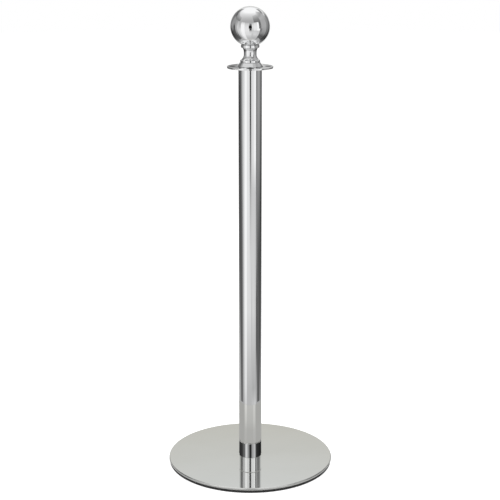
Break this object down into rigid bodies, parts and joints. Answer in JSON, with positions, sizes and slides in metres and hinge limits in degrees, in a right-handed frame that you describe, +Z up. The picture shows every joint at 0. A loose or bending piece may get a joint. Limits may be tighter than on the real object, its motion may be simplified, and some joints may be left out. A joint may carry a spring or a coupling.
{
  "type": "rope barrier post",
  "caption": "Free-standing barrier post with a weighted round base, a polished tube, a swivelling ring with holes for rope hooks, and a screw-on ball finial.",
  "frame": {"origin": "on the floor, under the middle of the round base", "axes": "+Z up along the tube's axis, +X through one hook hole of the rope ring at rest"},
  "size_m": [0.35, 0.35, 0.97],
  "materials": {
    "chrome": "mirror polish",
    "polished_cover": "near-mirror polish, slightly satin",
    "steel": "zinc plated",
    "plate": "dark primer",
    "alloy": "as turned",
    "brass": "as turned",
    "rubber": "matt, moulded",
    "nylon": "natural nylon"
  },
  "bodies": {
    "base": {"rubber_pad": "rubber", "weight_plate": "plate", "base_cover": "polished_cover", "base_bolt": "steel", "lock_washer": "steel", "flat_washer": "steel", "dowel_pins": "steel", "spigot": "alloy", "spigot_nut": "steel", "collar": "chrome"},
    "post_lift": {"guide_bush": "nylon"},
    "post": {"tube": "chrome", "bottom_plug": "steel", "top_plug": "steel", "ring_washer": "nylon"},
    "ring": {"rope_ring": "chrome"},
    "finial_lift": {"skirt_washer": "chrome"},
    "finial": {"neck": "chrome", "snap_ring": "steel", "neck_nut": "steel", "head_stud": "steel", "ball_insert": "brass", "ball": "chrome"}
  },
  "joints": [
    {"name": "post_rise", "type": "slide", "parent": "base", "child": "post_lift", "axis": [0, 0, 1], "range_m": [0, 0.0211]},
    {"name": "post_unscrew", "type": "hinge", "parent": "post_lift", "child": "post", "pos_m": [0, 0, 0.1], "axis": [0, 0, 1], "range_deg": [0, 4320]},
    {"name": "ring_swivel", "type": "hinge", "parent": "post", "child": "ring", "pos_m": [0, 0, 0.8492], "axis": [0, 0, 1], "continuous": true},
    {"name": "finial_rise", "type": "slide", "parent": "post", "child": "finial_lift", "axis": [0, 0, 1], "range_m": [0, 0.0181]},
    {"name": "finial_unscrew", "type": "hinge", "parent": "finial_lift", "child": "finial", "pos_m": [0, 0, 0.87], "axis": [0, 0, 1], "range_deg": [0, 4320]}
  ],
  "couplings": [
    {"joint": "post_rise", "follows": "post_unscrew", "m_per_rad": 0.00027852},
    {"joint": "finial_rise", "follows": "finial_unscrew", "m_per_rad": 0.00023873}
  ]
}
